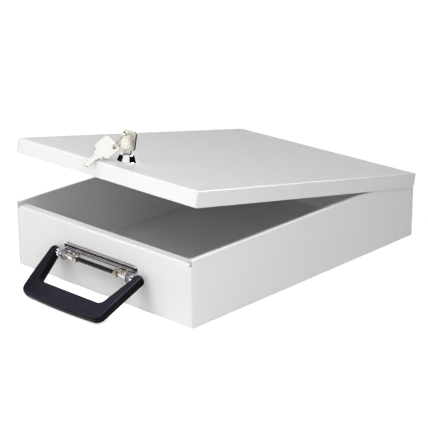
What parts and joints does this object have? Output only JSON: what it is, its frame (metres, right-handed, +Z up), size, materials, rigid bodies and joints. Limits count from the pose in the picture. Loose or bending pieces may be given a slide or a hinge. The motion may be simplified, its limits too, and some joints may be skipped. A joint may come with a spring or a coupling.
{
  "type": "lockable document box",
  "caption": "Flat sheet-steel document box with rear-hinged lid, cam lock with keys on a ring, and a sprung drop handle on the front",
  "frame": {"origin": "Centre of the tray's flat underside, which rests on the table", "axes": "+X to the right seen from the front, +Y to the rear with the hinge, +Z up; the handle is on the -Y side"},
  "size_m": [0.2534, 0.4068, 0.1603],
  "materials": {
    "white_powder_coat": "satin white powder coat on steel sheet",
    "chrome": "bright chrome plate",
    "nickel": "bright nickel plate",
    "zinc_steel": "plain zinc plate",
    "spring_steel": "yellow passivated spring wire",
    "black_plastic": "smooth black moulding with a soft shine"
  },
  "bodies": {
    "tray": {"base_tray": "white_powder_coat", "hinge_leaf_lower": "zinc_steel", "hinge_pin": "zinc_steel", "hinge_rivets_lower": "zinc_steel", "handle_plate": "chrome", "handle_rivets": "chrome", "spring_left": "spring_steel", "spring_right": "spring_steel"},
    "handle": {"handle_axle": "chrome", "axle_spacer": "black_plastic", "bow_eye_left": "chrome", "bow_eye_right": "chrome", "handle_bow": "black_plastic"},
    "lid": {"lid_shell": "white_powder_coat", "hinge_leaf_upper": "zinc_steel", "hinge_rivets_upper": "zinc_steel", "lock_rosette": "chrome", "lock_housing": "chrome", "lock_washer": "zinc_steel", "lock_nut": "zinc_steel"},
    "lock_core": {"lock_plug": "nickel", "lock_cam": "zinc_steel", "cam_screw": "zinc_steel"},
    "key": {"key": "nickel"},
    "ring": {"key_ring": "nickel"},
    "spare": {"spare_key": "nickel"}
  },
  "joints": [
    {"name": "lid_hinge", "type": "hinge", "parent": "tray", "child": "lid", "pos_m": [0, 0.1726, 0.0552], "axis": [-1, 0, 0], "range_deg": [-10.74, 164]},
    {"name": "handle_swing", "type": "hinge", "parent": "tray", "child": "handle", "pos_m": [0, -0.1795, 0.0335], "axis": [1, 0, 0], "range_deg": [-29.7, 60], "stiffness_Nm_per_rad": 0.12, "springref_deg": 74.48},
    {"name": "lock_turn", "type": "hinge", "parent": "lid", "child": "lock_core", "pos_m": [0, -0.13471, 0.13018], "axis": [0, 0.1864, 0.9825], "range_deg": [0, 90]},
    {"name": "key_pull", "type": "slide", "parent": "lock_core", "child": "key", "axis": [0, 0.1864, 0.9825], "range_m": [0, 0.028]},
    {"name": "ring_swing", "type": "hinge", "parent": "key", "child": "ring", "pos_m": [-0.0047, -0.12968, 0.15671], "axis": [0, 0.9825, -0.1864], "range_deg": [0, 60]},
    {"name": "spare_key_swing", "type": "hinge", "parent": "ring", "child": "spare", "pos_m": [-0.00508, -0.14569, 0.14606], "axis": [-1, 0, 0], "range_deg": [0, 41]}
  ],
  "couplings": [
    {"joint": "spare_key_swing", "follows": "lock_turn", "ratio": 0.45}
  ]
}
